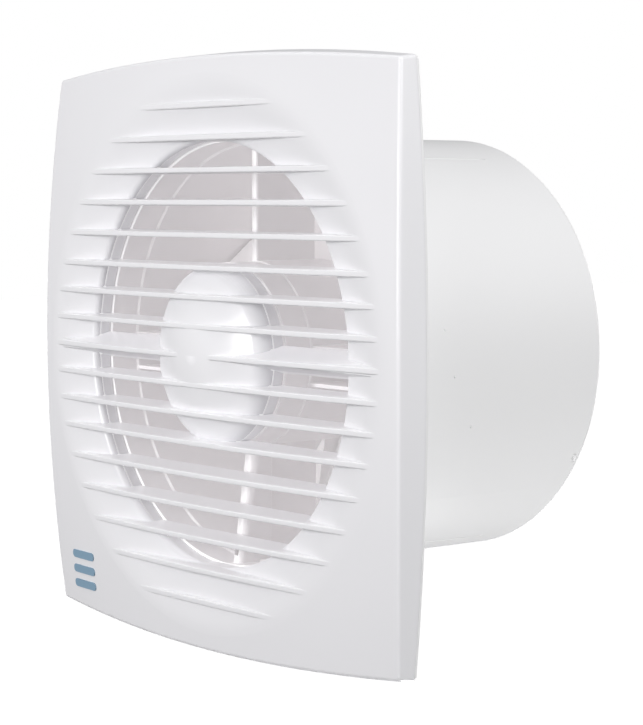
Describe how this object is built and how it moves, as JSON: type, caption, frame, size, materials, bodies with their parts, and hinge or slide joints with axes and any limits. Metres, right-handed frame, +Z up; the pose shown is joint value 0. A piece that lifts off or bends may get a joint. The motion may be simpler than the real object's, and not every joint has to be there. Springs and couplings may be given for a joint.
{
  "type": "bathroom extractor fan",
  "caption": "Axial extractor fan: square crowned cover with horizontal slats and a central dome, round duct spigot with a motor and impeller inside.",
  "frame": {"origin": "on the duct's axis, in the plane of the wall that the base plate lies against", "axes": "+Y into the wall along the duct, +Z up, +X to the right seen from the room"},
  "size_m": [0.171, 0.101, 0.171],
  "materials": {
    "cover_plastic": "glossy white ABS",
    "body_plastic": "satin white ABS",
    "badge_blue": "printed muted blue",
    "grommet_rubber": "matt black",
    "screw_steel": "zinc plated",
    "block_plastic": "natural nylon",
    "terminal_brass": "turned brass",
    "lead_brown": "brown insulation",
    "lead_blue": "blue insulation",
    "lamination_steel": "stacked steel sheets",
    "bobbin_plastic": "natural nylon",
    "coil_copper": "enamelled copper wire",
    "ring_copper": "bare copper",
    "fuse_metal": "drawn can",
    "bracket_aluminium": "die cast",
    "bearing_bronze": "sintered bronze",
    "cage_aluminium": "cast end rings",
    "shaft_steel": "ground",
    "washer_plastic": "graphite nylon",
    "impeller_plastic": "satin white",
    "clip_steel": "spring steel"
  },
  "bodies": {
    "housing": {"fan_body": "body_plastic", "cable_grommet": "grommet_rubber", "cable_clamp": "body_plastic", "clamp_screws": "screw_steel", "terminal_plate": "body_plastic", "terminal_plate_screws": "screw_steel", "terminal_cover": "body_plastic", "terminal_cover_screws": "screw_steel", "terminal_block": "block_plastic", "terminal_inserts": "terminal_brass", "terminal_screws": "screw_steel", "block_screw": "screw_steel", "live_lead": "lead_brown", "neutral_lead": "lead_blue", "stator_core": "lamination_steel", "coil_bobbins": "bobbin_plastic", "field_coils": "coil_copper", "shading_rings": "ring_copper", "thermal_fuse": "fuse_metal", "front_bracket": "bracket_aluminium", "rear_bracket": "bracket_aluminium", "front_bearing": "bearing_bronze", "rear_bearing": "bearing_bronze", "motor_screws": "screw_steel"},
    "cover": {"front_cover": "cover_plastic", "cover_badge": "badge_blue"},
    "rotor": {"rotor_core": "lamination_steel", "rotor_cage": "cage_aluminium", "motor_shaft": "shaft_steel", "thrust_washers": "washer_plastic", "impeller": "impeller_plastic", "impeller_clip": "clip_steel"}
  },
  "joints": [
    {"name": "rotor_spin", "type": "hinge", "parent": "housing", "child": "rotor", "pos_m": [0, 0.04, 0], "axis": [0, 1, 0], "continuous": true},
    {"name": "cover_pull", "type": "slide", "parent": "housing", "child": "cover", "axis": [0, -1, 0], "range_m": [0, 0.03]}
  ]
}
